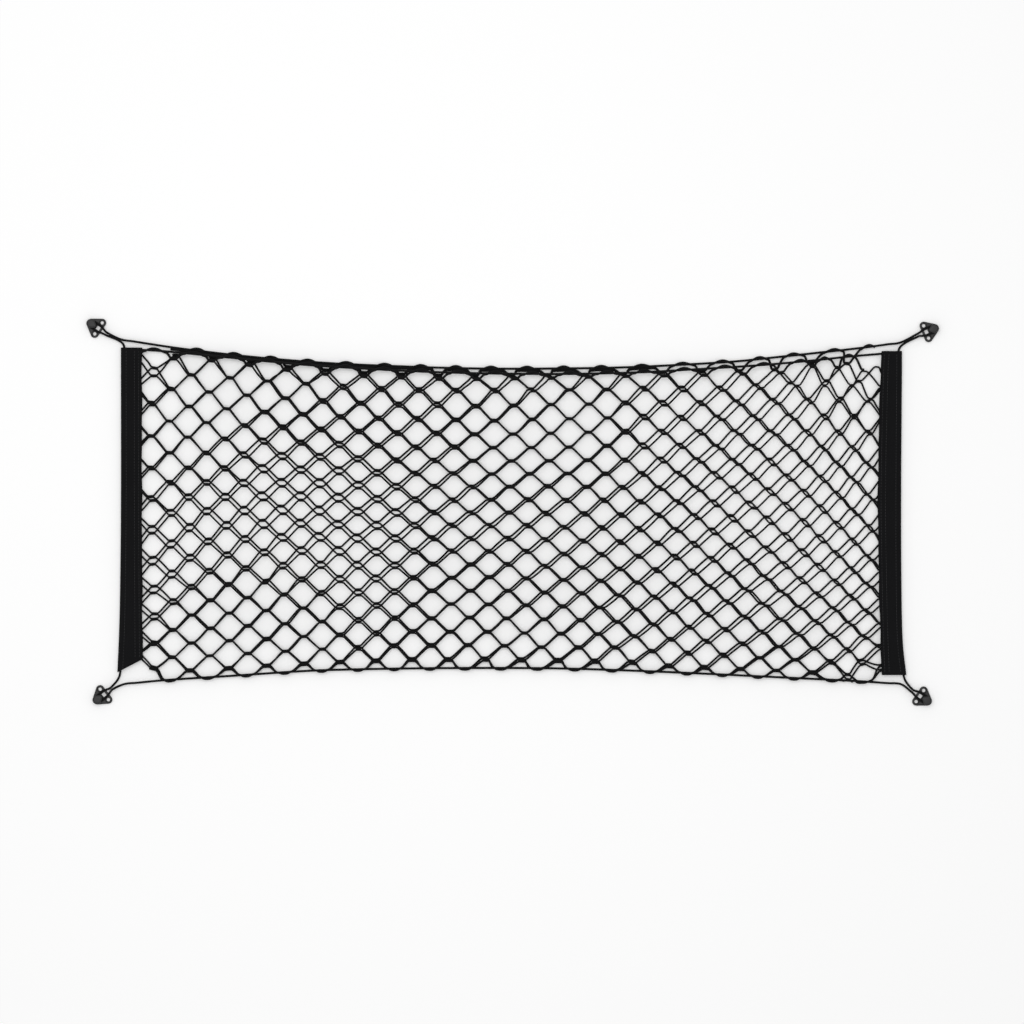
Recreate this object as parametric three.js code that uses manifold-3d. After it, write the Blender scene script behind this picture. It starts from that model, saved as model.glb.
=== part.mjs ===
// Storage net, laid flat: an envelope pocket of knotless netting for a car boot.
//
// The netting is folded up on itself, so it has a back and a front layer joined along the
// foot. Its two ends are sewn into webbing side bands. One elastic cord runs round all four
// edges and makes a loop over a small anchor hook at each corner, and a second elastic cord
// is threaded through the front layer's top edge, the mouth of the pocket.
//
// Millimetres. The net lies on the plane z = 0 with its mouth towards +Y and its long side
// along X. The origin is under the middle of its outer box.

import * as THREE from 'three';
import { mergeVertices } from 'three/addons/utils/BufferGeometryUtils.js';
import Module from 'manifold-3d';

const wasm = await Module();
wasm.setup();

// ---------------------------------------------------------------- driving dimensions

const CLEARANCE = 0.3; // between pieces that touch

const NET = {
  meshesAcross: 11,
  meshesDown: 6,
  twine: 3.6, // width of the strands between the meshes
  thickness: 1.6,
  edgeStrip: 2.4, // plain strip along the foot and the top edge
  edgeGap: 0.9, // to the cords, which bend in shorter steps than the strips
  selvage: 4, // plain strip that shows beside each band
  tuck: 14, // how far the ends reach in between a band's plies
  liftRun: 18, // length over which the back layer comes down from a band to the ground
};

// Beside each band the back layer's top edge drops below the border cord.
const TOP_CORNER = { drop: 11.5, until: 12, run: 45 };

const POCKET = {
  rise: 6.6, // how far the front layer stands off the back one
  sideRun: 80, // length of its slope up from each band
  footRun: 60, // length of its slope up from the foot
};

const BAND = { ply: 1.1, round: 1.6, steps: 8 };

const CORD = {
  radius: 1.3,
  sides: 8,
  restHeight: 1.5, // of its centre, where it lies on the ground
  step: 24,
  exit: 4, // how far it runs straight out of a band's fold
  mouthRise: 12, // length over which the mouth cord climbs out of a band
};

const HOOK = {
  plate: 2.5,
  lip: 2,
  lipBevel: 0.5,
  holeRadius: 2,
  holeSpacing: 15.4,
  window: 4.4,
  windowAt: -0.6,
  postRadius: 2.2,
  loopSlack: 0.1, // between the post and the cord's loop
  outlineSides: 24,
};

// Round corners of the hook's outlines: `out` points away from the net, `across` to its side.
const PLATE_CORNERS = [
  { out: 8.6, across: 0, radius: 5.8 },
  { out: -0.8, across: HOOK.holeSpacing / 2, radius: 4.6 },
  { out: -0.8, across: -HOOK.holeSpacing / 2, radius: 4.6 },
];
const POST_CORNERS = [
  { out: 4.6, across: 0, radius: HOOK.postRadius },
  { out: 7.6, across: 0, radius: HOOK.postRadius },
];
const LIP_CORNERS = [
  { out: 4.6, across: 0, radius: 2.8 },
  { out: 8.8, across: 0, radius: 5.2 },
];

// The heights follow from the stack of plies and layers in a band.
const SLOT_FLOOR = BAND.ply + CLEARANCE;
const SLOT_HEIGHT = 2 * NET.thickness + 3 * CLEARANCE;
const BAND_THICKNESS = 2 * BAND.ply + SLOT_HEIGHT;
const TUNNEL_HEIGHT = BAND_THICKNESS / 2;
const TUNNEL_INSET = BAND.ply + CLEARANCE + CORD.radius;
const LOOP_HEIGHT = HOOK.plate + CLEARANCE + CORD.radius;
const CORD_SEAT = CORD.radius + CLEARANCE;
const LOOP_RADIUS = HOOK.postRadius + CORD_SEAT + HOOK.loopSlack;
const NET_SEAT = CORD.radius + NET.edgeGap;

// One leg of the border cord's loop, from the neck where the two legs meet to the post.
const LOOP_LEG = [
  { out: -13, across: 1.5 },
  { out: -7.5, across: 2.4 },
  { out: -2, across: LOOP_RADIUS },
];

// Outer and inner edges of the two bands, from their lower ends up.
const LEFT_BAND = [
  { y: -184, outer: -454, inner: -425 },
  { y: -120, outer: -451.5, inner: -425.5 },
  { y: 0, outer: -450, inner: -426 },
  { y: 189, outer: -450, inner: -426 },
];
const RIGHT_BAND = [
  { y: -187, outer: 452.5, inner: 424.5 },
  { y: -150, outer: 448.5, inner: 423 },
  { y: -92, outer: 447, inner: 421.5 },
  { y: 20, outer: 446.5, inner: 420 },
  { y: 165, outer: 447.5, inner: 423 },
  { y: 185, outer: 447.5, inner: 424.5 },
];
const LEFT_END_SLANT = 15; // the left band's lower end is cut up towards its inner edge

// Centre lines of the cords across the net, from left to right.
const TOP_LINE = [
  { x: -450, y: 198.5 },
  { x: -385, y: 188.5 },
  { x: -300, y: 178.5 },
  { x: -215, y: 171.5 },
  { x: -128, y: 167.5 },
  { x: -40, y: 165 },
  { x: 50, y: 165 },
  { x: 132, y: 166.5 },
  { x: 215, y: 170.5 },
  { x: 260, y: 173.5 },
  { x: 303, y: 178 },
  { x: 345, y: 182.5 },
  { x: 403, y: 189 },
  { x: 446, y: 195 },
];
const MOUTH_LINE = [
  { x: -441, y: 187 },
  { x: -408, y: 185.5 },
  { x: -366, y: 181.5 },
  { x: -281, y: 173 },
  { x: -238, y: 169 },
  { x: -150, y: 163.5 },
  { x: -85, y: 160.5 },
  { x: -20, y: 159 },
  { x: 65, y: 158.5 },
  { x: 150, y: 160.5 },
  { x: 195, y: 163 },
  { x: 283, y: 168.5 },
  { x: 345, y: 174 },
  { x: 390, y: 179 },
  { x: 436, y: 183 },
];
const FOOT_LINE = [
  { x: -446, y: -197.5 },
  { x: -400, y: -193 },
  { x: -323, y: -188 },
  { x: -240, y: -182.5 },
  { x: -200, y: -181 },
  { x: -118, y: -179.5 },
  { x: -35, y: -179 },
  { x: 53, y: -179.5 },
  { x: 137, y: -182 },
  { x: 220, y: -185.5 },
  { x: 303, y: -189.5 },
  { x: 395, y: -194 },
  { x: 446, y: -197.5 },
];

// The hooks, in the order in which the border cord reaches them: the middle of each one's
// window, and the angle of its outward direction from +X.
const HOOKS = [
  { name: 'hook_top_left', x: -476.7, y: 211.8, angle: 146 },
  { name: 'hook_bottom_left', x: -470, y: -210, angle: 218 },
  { name: 'hook_bottom_right', x: 469, y: -211.8, angle: 326 },
  { name: 'hook_top_right', x: 476.2, y: 207.5, angle: 22 },
];

// ---------------------------------------------------------------- lines and shapes

// A smooth line through a table's rows: column `to` as a function of column `from`.
function smoothLine(rows, from, to) {
  const last = rows.length - 1;
  const slope = (i) => {
    const a = rows[Math.max(i - 1, 0)];
    const b = rows[Math.min(i + 1, last)];
    return (b[to] - a[to]) / (b[from] - a[from]);
  };
  return (at) => {
    const next = rows.findIndex((row) => row[from] > at);
    const i = next < 0 ? last - 1 : Math.max(next - 1, 0);
    const span = rows[i + 1][from] - rows[i][from];
    const t = (at - rows[i][from]) / span;
    const blend = t * t * (3 - 2 * t);
    const bend = t * (1 - t) * span;
    return (
      rows[i][to] * (1 - blend) + rows[i + 1][to] * blend
      + bend * ((1 - t) * slope(i) - t * slope(i + 1))
    );
  };
}

const ease = (distance, run) => THREE.MathUtils.smoothstep(distance, 0, run);

const leftInner = smoothLine(LEFT_BAND, 'y', 'inner');
const rightInner = smoothLine(RIGHT_BAND, 'y', 'inner');
const topLine = smoothLine(TOP_LINE, 'x', 'y');
const mouthLine = smoothLine(MOUTH_LINE, 'x', 'y');
const footLine = smoothLine(FOOT_LINE, 'x', 'y');

// How far a point lies from the nearer band's inner edge; less than 0 between its plies.
function bandDistance(x, y) {
  return Math.min(x - leftInner(y), rightInner(y) - x);
}

// Turns a closed surface's faces outwards, given its triangles as a flat list of points.
function outward(points) {
  const volume = points.reduce((sum, a, i) => {
    return i % 3 ? sum : sum + a.dot(points[i + 1].clone().cross(points[i + 2]));
  }, 0);
  const turned = volume > 0 ? points : [...points].reverse();
  return new THREE.BufferGeometry().setFromPoints(turned);
}

// A closed body through a row of sections, each a ring of the same number of points.
// `contour` is the section's flat outline, from which the two end faces are made.
function loft(rings, contour) {
  const points = [];
  const count = contour.length;
  for (let row = 0; row + 1 < rings.length; row += 1) {
    for (let k = 0; k < count; k += 1) {
      const next = (k + 1) % count;
      const [a, b] = [rings[row][k], rings[row][next]];
      const [c, d] = [rings[row + 1][next], rings[row + 1][k]];
      points.push(a, b, c, a, c, d);
    }
  }
  const clockwise = THREE.ShapeUtils.isClockWise(contour);
  for (const face of THREE.ShapeUtils.triangulateShape(contour, [])) {
    const [a, b, c] = clockwise ? face : [...face].reverse();
    points.push(rings[0][a], rings[0][b], rings[0][c]);
    points.push(rings.at(-1)[c], rings.at(-1)[b], rings.at(-1)[a]);
  }
  return outward(points);
}

// A round cord along a list of points, none of which goes straight up.
function cordAlong(path) {
  const up = new THREE.Vector3(0, 0, 1);
  const angles = Array.from({ length: CORD.sides }, (_, k) => {
    return ((k + 0.5) * 2 * Math.PI) / CORD.sides;
  });
  const rings = path.map((point, i) => {
    const before = path[Math.max(i - 1, 0)];
    const after = path[Math.min(i + 1, path.length - 1)];
    const along = after.clone().sub(before).normalize();
    const side = up.clone().cross(along).normalize();
    const rise = along.clone().cross(side);
    return angles.map((angle) => point.clone()
      .addScaledVector(side, CORD.radius * Math.cos(angle))
      .addScaledVector(rise, CORD.radius * Math.sin(angle)));
  });
  return loft(rings, angles.map((angle) => new THREE.Vector2(Math.cos(angle), Math.sin(angle))));
}

// ---------------------------------------------------------------- netting

// The two layers differ in the line of their top edge and in their height.
function backEdge(x) {
  const { drop, until, run } = TOP_CORNER;
  const rise = ease(bandDistance(x, mouthLine(x)) - until, run);
  return topLine(x) - NET_SEAT - drop * (1 - rise);
}
const frontEdge = (x) => mouthLine(x) - NET_SEAT;
const footEdge = (x) => footLine(x) + NET_SEAT;

function backHeight(x, y) {
  return SLOT_FLOOR * (1 - ease(bandDistance(x, y) - NET.selvage, NET.liftRun));
}
function frontHeight(x, y) {
  const side = ease(bandDistance(x, y) - NET.selvage, POCKET.sideRun);
  const foot = ease(y - footEdge(x), POCKET.footRun);
  return backHeight(x, y) + NET.thickness + CLEARANCE + POCKET.rise * side * foot;
}

// A plate made of flat convex polygons that share their corners. `place` bends it: it turns
// a corner [i, j] and a level within the thickness into a point.
function bentPlate(polygons, thickness, place) {
  const points = [];
  const rim = new Map();
  for (const polygon of polygons) {
    const top = polygon.map((corner) => place(corner, thickness));
    const bottom = polygon.map((corner) => place(corner, 0));
    for (let k = 1; k + 1 < polygon.length; k += 1) {
      points.push(top[0], top[k], top[k + 1], bottom[0], bottom[k + 1], bottom[k]);
    }
    polygon.forEach((corner, k) => {
      const next = (k + 1) % polygon.length;
      const name = (from, to) => [...from, ...to].map((value) => value.toFixed(6)).join();
      const wall = [bottom[k], bottom[next], top[next], bottom[k], top[next], top[k]];
      const isShared = rim.delete(name(polygon[next], corner));
      if (!isShared) rim.set(name(corner, polygon[next]), wall);
    });
  }
  return outward([...points, ...[...rim.values()].flat()]);
}

// The polygons of a diamond lattice, in units of half a mesh: its junctions, its strands and
// the plain strips along its four sides. `half` is half a strand's width.
function diamondLattice({ across, down, half, strip, tuck }) {
  const polygons = [];
  const isInside = ([i, j]) => i >= 0 && i <= across && j >= 0 && j <= down;
  for (let j = 0; j <= down; j += 1) {
    for (let i = (j + 1) % 2; i <= across; i += 2) {
      const [east, north, west] = [[i + half, j], [i, j + half], [i - half, j]];
      polygons.push([east, north, west, [i, j - half]].filter(isInside));
      if (j < down && i < across) {
        polygons.push([east, [i + 1, j + 1 - half], [i + 1 - half, j + 1], north]);
      }
      if (j < down && i > 0) {
        polygons.push([north, [i - 1 + half, j + 1], [i - 1, j + 1 - half], west]);
      }
    }
  }

  // Each side is cut where a junction meets it. The two foot corners are left open.
  const cuts = (length) => {
    const junctions = Array.from({ length: length / 2 }, (_, k) => 2 * k + 1);
    return [0, ...junctions.flatMap((at) => [at - half, at + half]), length];
  };
  const strips = [
    { columns: cuts(across).slice(1, -1), rows: [-strip, 0] },
    { columns: [-tuck, ...cuts(across), across + tuck], rows: [down, down + strip] },
    { columns: [-tuck, 0], rows: cuts(down).slice(1) },
    { columns: [across, across + tuck], rows: cuts(down).slice(1) },
  ];
  for (const { columns, rows } of strips) {
    for (let i = 0; i + 1 < columns.length; i += 1) {
      for (let j = 0; j + 1 < rows.length; j += 1) {
        const [left, right] = [columns[i], columns[i + 1]];
        const [low, high] = [rows[j], rows[j + 1]];
        polygons.push([[left, low], [right, low], [right, high], [left, high]]);
      }
    }
  }
  return polygons;
}

// One layer of netting, spread out between the bands, the foot and its own top edge.
function netLayer(topEdge, height) {
  const across = 2 * NET.meshesAcross;
  const down = 2 * NET.meshesDown;
  const strip = NET.edgeStrip;
  const halfWidth = (rightInner(0) - leftInner(0) - 2 * NET.selvage) / across;
  const halfHeight = (topEdge(0) - footEdge(0) - 2 * strip) / down;
  const meshDepth = (halfWidth * halfHeight) / Math.hypot(halfWidth, halfHeight);
  const lattice = diamondLattice({
    across,
    down,
    half: NET.twine / 2 / meshDepth,
    strip: strip / halfHeight,
    tuck: (NET.tuck + NET.selvage) / halfWidth,
  });

  // The sides and the edges lean on each other, so a place is found in a few passes.
  const passes = 3;
  const place = ([i, j], level) => {
    let x = 0;
    let y = 0;
    for (let pass = 0; pass < passes; pass += 1) {
      const left = leftInner(y) + NET.selvage;
      const right = rightInner(y) - NET.selvage;
      x = THREE.MathUtils.lerp(left, right, i / across);
      y = THREE.MathUtils.lerp(footEdge(x) + strip, topEdge(x) - strip, j / down);
    }
    return new THREE.Vector3(x, y, height(x, y) + level);
  };
  return bentPlate(lattice, NET.thickness, place);
}

// ---------------------------------------------------------------- side bands

// A band's edges, its way towards the net, and the levels at which it and its cord bend.
function bandShape(rows) {
  const outer = smoothLine(rows, 'y', 'outer');
  const inner = smoothLine(rows, 'y', 'inner');
  const low = rows[0].y;
  const high = rows.at(-1).y;
  const levels = Array.from({ length: BAND.steps + 1 }, (_, step) => {
    return THREE.MathUtils.lerp(low, high, step / BAND.steps);
  });
  return { outer, inner, levels, towardsNet: Math.sign(inner(0) - outer(0)) };
}

// A webbing folded in half lengthwise: a U in section, open towards the net. `slant` raises
// the lower end's inner corner.
function sideBand(rows, slant) {
  const { outer, inner, levels, towardsNet } = bandShape(rows);

  // The section, from the lower ply's inner edge round the fold and back inside it. `inset`
  // is measured from the fold's outer face, and is left out at the inner edge.
  const half = BAND_THICKNESS / 2;
  const { ply, round } = BAND;
  const outside = [
    { level: -half },
    { inset: round, level: -half },
    { inset: round / 4, level: -half + round / 2 },
    { inset: 0, level: -half + round },
  ];
  const inside = [
    { inset: ply, level: -half + round },
    { inset: ply + round / 4, level: -half + ply },
    { level: -half + ply },
  ];
  const mirrored = (points) => points.map((p) => ({ ...p, level: -p.level })).reverse();
  const section = [...outside, ...mirrored(outside), ...mirrored(inside), ...inside];
  const width = Math.abs(inner(0) - outer(0));
  const contour = section.map((p) => new THREE.Vector2(p.inset ?? width, p.level));

  const rings = levels.map((y, step) => section.map(({ inset, level }) => {
    const x = inset === undefined ? inner(y) : outer(y) + towardsNet * inset;
    const raised = step === 0 ? slant * Math.abs((x - outer(y)) / width) : 0;
    return new THREE.Vector3(x, y + raised, half + level);
  }));
  return loft(rings, contour);
}

// ---------------------------------------------------------------- cords

// A cord's points across the net, about CORD.step apart.
function alongLine(rows, line, height) {
  const from = rows[0].x;
  const to = rows.at(-1).x;
  const count = Math.round((to - from) / CORD.step);
  return Array.from({ length: count + 1 }, (_, k) => {
    const x = THREE.MathUtils.lerp(from, to, k / count);
    return new THREE.Vector3(x, line(x), height(x));
  });
}

// The border cord's way round one hook: in by one leg, round the post and out by the other.
function loopRound({ x, y, angle }) {
  const leg = LOOP_LEG.map(({ out, across }) => [out, across]);
  const bend = [-90, -54, -18, 18, 54, 90].map((degrees) => {
    const turn = THREE.MathUtils.degToRad(degrees);
    return [POST_CORNERS[1].out + LOOP_RADIUS * Math.cos(turn), LOOP_RADIUS * Math.sin(turn)];
  });
  const way = [...leg.map(([out, across]) => [out, -across]), ...bend, ...[...leg].reverse()];
  const direction = THREE.MathUtils.degToRad(angle);
  const origin = new THREE.Vector2();
  return way.map(([out, across]) => {
    const point = new THREE.Vector2(out, across).rotateAround(origin, direction);
    return new THREE.Vector3(x + point.x, y + point.y, LOOP_HEIGHT);
  });
}

// The border cord inside a band's fold, from its lower end up, and a little out at each end.
function throughBand(rows) {
  const { outer, levels, towardsNet } = bandShape(rows);
  const way = levels.map((y) => {
    return new THREE.Vector3(outer(y) + towardsNet * TUNNEL_INSET, y, TUNNEL_HEIGHT);
  });
  const out = new THREE.Vector3(0, CORD.exit, 0);
  return [way[0].clone().sub(out), ...way, way.at(-1).clone().add(out)];
}

// One closed round of cord, whose two ends meet end to end inside the left band.
function borderCord() {
  const atRest = () => CORD.restHeight;
  const left = throughBand(LEFT_BAND);
  const middle = left.length >> 1;
  const joint = new THREE.Vector3(0, CLEARANCE, 0);
  const [topLeft, footLeft, footRight, topRight] = HOOKS.map(loopRound);
  return cordAlong([
    left[middle].clone().sub(joint),
    ...left.slice(0, middle).reverse(),
    ...footLeft,
    ...alongLine(FOOT_LINE, footLine, atRest),
    ...footRight,
    ...throughBand(RIGHT_BAND),
    ...topRight,
    ...alongLine(TOP_LINE, topLine, atRest).reverse(),
    ...topLeft,
    ...left.slice(middle + 1).reverse(),
    left[middle].clone().add(joint),
  ]);
}

// The mouth cord ends between each band's plies and rides up with the front layer.
function mouthCord() {
  const height = (x) => {
    const onNet = frontHeight(x, frontEdge(x)) + CORD.radius;
    const climb = ease(bandDistance(x, mouthLine(x)) - CORD.exit, CORD.mouthRise);
    return THREE.MathUtils.lerp(TUNNEL_HEIGHT, onNet, climb);
  };
  return cordAlong(alongLine(MOUTH_LINE, mouthLine, height));
}

// ---------------------------------------------------------------- hooks

// The outline round a set of corner circles, as if a string were pulled tight about them.
function aroundCorners(corners) {
  return Array.from({ length: HOOK.outlineSides }, (_, k) => {
    const turn = (k * 2 * Math.PI) / HOOK.outlineSides;
    const reach = (c) => c.out * Math.cos(turn) + c.across * Math.sin(turn) + c.radius;
    const c = corners.reduce((best, corner) => (reach(corner) > reach(best) ? corner : best));
    return new THREE.Vector2(c.out + c.radius * Math.cos(turn), c.across + c.radius * Math.sin(turn));
  });
}

function slab(shape, bottom, height, bevel = 0) {
  return new THREE.ExtrudeGeometry(shape, {
    depth: height - 2 * bevel,
    bevelEnabled: bevel > 0,
    bevelThickness: bevel,
    bevelSize: bevel,
    bevelOffset: -bevel,
    bevelSegments: 1,
    curveSegments: 5,
  }).translate(0, 0, bottom + bevel);
}

function solidOf(geometry) {
  geometry.deleteAttribute('normal');
  geometry.deleteAttribute('uv');
  const merged = mergeVertices(geometry, 1e-4);
  return new wasm.Manifold(new wasm.Mesh({
    numProp: 3,
    vertProperties: new Float32Array(merged.attributes.position.array),
    triVerts: new Uint32Array(merged.index.array),
  }));
}

// A plate with two screw holes and a core window, with a post and a lip to hold the loop.
function hookBody() {
  const plate = new THREE.Shape(aroundCorners(PLATE_CORNERS));
  for (const side of [-1, 1]) {
    const hole = new THREE.Path();
    hole.absarc(PLATE_CORNERS[1].out, (side * HOOK.holeSpacing) / 2, HOOK.holeRadius, 0, 2 * Math.PI);
    plate.holes.push(hole);
  }
  const half = HOOK.window / 2;
  const window = [[-half, -half], [half, -half], [half, half], [-half, half]];
  plate.holes.push(new THREE.Path(window.map(([out, across]) => {
    return new THREE.Vector2(HOOK.windowAt + out, across);
  })));

  const underLip = LOOP_HEIGHT + CORD_SEAT;
  const sunk = HOOK.plate / 2;
  const post = new THREE.Shape(aroundCorners(POST_CORNERS));
  const lip = new THREE.Shape(aroundCorners(LIP_CORNERS));
  const body = solidOf(slab(plate, 0, HOOK.plate))
    .add(solidOf(slab(post, sunk, underLip + HOOK.lip / 2 - sunk)))
    .add(solidOf(slab(lip, underLip, HOOK.lip, HOOK.lipBevel)));
  const mesh = body.getMesh();
  const geometry = new THREE.BufferGeometry();
  geometry.setAttribute('position', new THREE.BufferAttribute(mesh.vertProperties, 3));
  geometry.setIndex(new THREE.BufferAttribute(mesh.triVerts, 1));
  return geometry;
}

// ---------------------------------------------------------------- the net

const twine = () => new THREE.MeshStandardMaterial({ color: 0x151516, roughness: 0.9 });
const webbing = () => new THREE.MeshStandardMaterial({ color: 0x18181a, roughness: 0.85 });
const elastic = () => new THREE.MeshStandardMaterial({ color: 0x121213, roughness: 0.8 });
const plastic = () => new THREE.MeshStandardMaterial({ color: 0x202022, roughness: 0.4 });

const net = new THREE.Group();

function piece(name, geometry, material) {
  const mesh = new THREE.Mesh(geometry, material);
  mesh.name = name;
  net.add(mesh);
  return mesh;
}

piece('net_back', netLayer(backEdge, backHeight), twine());
piece('net_front', netLayer(frontEdge, frontHeight), twine());
piece('band_left', sideBand(LEFT_BAND, LEFT_END_SLANT), webbing());
piece('band_right', sideBand(RIGHT_BAND, 0), webbing());
piece('cord_border', borderCord(), elastic());
piece('cord_mouth', mouthCord(), elastic());
for (const { name, x, y, angle } of HOOKS) {
  const hook = piece(name, hookBody(), plastic());
  hook.position.set(x, y, 0);
  hook.rotation.z = THREE.MathUtils.degToRad(angle);
}

export default net;
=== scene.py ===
"""The looks of a storage net, laid flat: an envelope pocket of knotless netting for a car boot.

The netting is folded up on itself into a back and a front layer, and its ends are sewn into two
webbing bands. Elastic cord edges it and loops over a small anchor hook at each corner. Metres,
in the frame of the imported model: mouth towards +Y, long side along X, the floor at z = 0.
"""

import math

import bmesh
import bpy
import numpy as np
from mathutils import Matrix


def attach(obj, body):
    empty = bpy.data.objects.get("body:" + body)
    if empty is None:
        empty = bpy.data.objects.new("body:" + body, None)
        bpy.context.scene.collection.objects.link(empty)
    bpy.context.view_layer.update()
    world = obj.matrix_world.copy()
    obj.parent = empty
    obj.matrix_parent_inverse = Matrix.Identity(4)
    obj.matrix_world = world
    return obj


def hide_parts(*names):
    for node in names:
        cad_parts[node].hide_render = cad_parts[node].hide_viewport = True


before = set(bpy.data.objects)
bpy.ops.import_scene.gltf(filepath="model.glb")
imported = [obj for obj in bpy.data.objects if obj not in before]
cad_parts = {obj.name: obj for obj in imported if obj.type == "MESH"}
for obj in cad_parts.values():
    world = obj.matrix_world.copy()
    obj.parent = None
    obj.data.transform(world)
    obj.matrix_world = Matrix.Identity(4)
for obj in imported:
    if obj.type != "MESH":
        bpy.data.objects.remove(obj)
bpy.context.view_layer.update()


# ---- The room ------------------------------------------------------------------------------
# A plain white floor under an even white sky, with one wide soft lamp overhead. The camera
# looks straight down on the net from far enough away to show it without perspective.

class Value:
    """A node's output socket. Sums on it add Math nodes, and make() adds any other node."""

    def __init__(self, socket):
        self.socket = socket

    @classmethod
    def make(cls, tree, kind, inputs=None, output=0, **settings):
        node = tree.nodes.new(kind)
        for name, setting in settings.items():
            setattr(node, name, setting)
        for place, value in (inputs or {}).items():
            if isinstance(value, cls):
                tree.links.new(value.socket, node.inputs[place])
            else:
                node.inputs[place].default_value = value
        return cls(node.outputs[output]) if node.outputs else None

    def other(self, output):
        """Another output of the same node."""
        return Value(self.socket.node.outputs[output])

    def __add__(self, other):
        return sum_of("ADD", self, other)

    def __radd__(self, other):
        return sum_of("ADD", other, self)

    def __sub__(self, other):
        return sum_of("SUBTRACT", self, other)

    def __rsub__(self, other):
        return sum_of("SUBTRACT", other, self)

    def __mul__(self, other):
        return sum_of("MULTIPLY", self, other)

    def __rmul__(self, other):
        return sum_of("MULTIPLY", other, self)

    def __truediv__(self, other):
        return sum_of("DIVIDE", self, other)

    def __abs__(self):
        return sum_of("ABSOLUTE", self)

    def __pow__(self, other):
        return sum_of("POWER", self, other)


def sum_of(operation, *terms):
    """One Math node on values and numbers."""
    tree = next(term.socket.id_data for term in terms if isinstance(term, Value))
    return Value.make(tree, "ShaderNodeMath", dict(enumerate(terms)), operation=operation)


def clamped(value, low, high):
    return sum_of("MINIMUM", sum_of("MAXIMUM", value, low), high)


def stepped(value, low, high):
    """0 below `low`, 1 above `high`, and smooth between them."""
    tree = value.socket.id_data
    return Value.make(
        tree,
        "ShaderNodeMapRange",
        {"Value": value, "From Min": low, "From Max": high},
        interpolation_type="SMOOTHSTEP",
    )


def put(name, data):
    """A new object in the scene, of a mesh, a camera or a lamp."""
    thing = bpy.data.objects.new(name, data)
    bpy.context.collection.objects.link(thing)
    return thing


def seen_rays(tree):
    """1 for what the camera sees, straight or off a shine, and 0 for the light on the net."""
    rays = Value.make(tree, "ShaderNodeLightPath", output="Is Camera Ray")
    rays = rays + rays.other("Is Glossy Ray") + rays.other("Is Transmission Ray")
    return clamped(rays, 0, 1)


view_width = 1.1776
camera_height = 3.2
camera_data = bpy.data.cameras.new("camera")
camera_data.lens = camera_data.sensor_width * camera_height / view_width
camera = put("camera", camera_data)
camera.location = (-0.0006, 0.0002, camera_height)
bpy.context.scene.camera = camera
bpy.context.scene.view_settings.view_transform = "Standard"

sky_strength = 0.6
world = bpy.data.worlds.new("sky")
world.use_nodes = True
bpy.context.scene.world = world
sky = world.node_tree
background = sky.nodes["Background"]
background.inputs["Color"].default_value = (1, 1, 1, 1)
strength = sky_strength + (1 - sky_strength) * seen_rays(sky)
sky.links.new(strength.socket, background.inputs["Strength"])

lamp_data = bpy.data.lights.new("soft lamp", "AREA")
lamp_data.shape = "SQUARE"
lamp_data.size = 2.4
lamp_data.energy = 31
lamp = put("soft lamp", lamp_data)
lamp.location = (-0.25, 0.35, 2.8)
lamp.rotation_euler = (math.radians(-7), math.radians(-5), 0)


def plain_finish(name, **sockets):
    """A new material with some of its shader's sockets set, its tree and all those sockets."""
    material = bpy.data.materials.new(name)
    material.use_nodes = True
    shader = material.node_tree.nodes["Principled BSDF"]
    for socket, value in sockets.items():
        shader.inputs[socket.replace("_", " ")].default_value = value
    return material, material.node_tree, shader.inputs


paper, paper_tree, paper_shader = plain_finish(
    "white floor", Base_Color=(1, 1, 1, 1), Roughness=1.0, Specular_IOR_Level=0, Emission_Strength=1.0,
)
glow = 0.08 * seen_rays(paper_tree)
glow = Value.make(paper_tree, "ShaderNodeCombineColor", {"Red": glow, "Green": glow, "Blue": glow})
paper_tree.links.new(glow.socket, paper_shader["Emission Color"])
floor_reach = 8
floor_drop = -0.0002
floor_corners = [
    (x * floor_reach, y * floor_reach, floor_drop) for x, y in ((-1, -1), (1, -1), (1, 1), (-1, 1))
]
floor_mesh = bpy.data.meshes.new("floor")
floor_mesh.from_pydata(floor_corners, [], [(0, 1, 2, 3)])
floor_mesh.materials.append(paper)
put("floor", floor_mesh)


# ---- The lie of the net --------------------------------------------------------------------
# Not a piece: how the two layers of netting are spread out between the bands, the cords and
# the foot. Each layer is a smooth surface over the netting's own columns and rows.

mm = 0.001


def smooth_line(rows):
    """A smooth line through a table's rows: the second column as a function of the first."""
    at, value = (np.array(column, float) for column in zip(*rows))
    last = len(at) - 1
    before = np.maximum(np.arange(last + 1) - 1, 0)
    after = np.minimum(np.arange(last + 1) + 1, last)
    slope = (value[after] - value[before]) / (at[after] - at[before])

    def line(x):
        i = np.clip(np.searchsorted(at, x, side="right") - 1, 0, last - 1)
        span = at[i + 1] - at[i]
        t = (x - at[i]) / span
        blend = t * t * (3 - 2 * t)
        bend = t * (1 - t) * span * ((1 - t) * slope[i] - t * slope[i + 1])
        return value[i] * (1 - blend) + value[i + 1] * blend + bend

    return line


def eased(distance, run):
    """0 at no distance, 1 from `run` on, and smooth between them."""
    t = np.clip(distance / run, 0, 1)
    return t * t * (3 - 2 * t)


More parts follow.
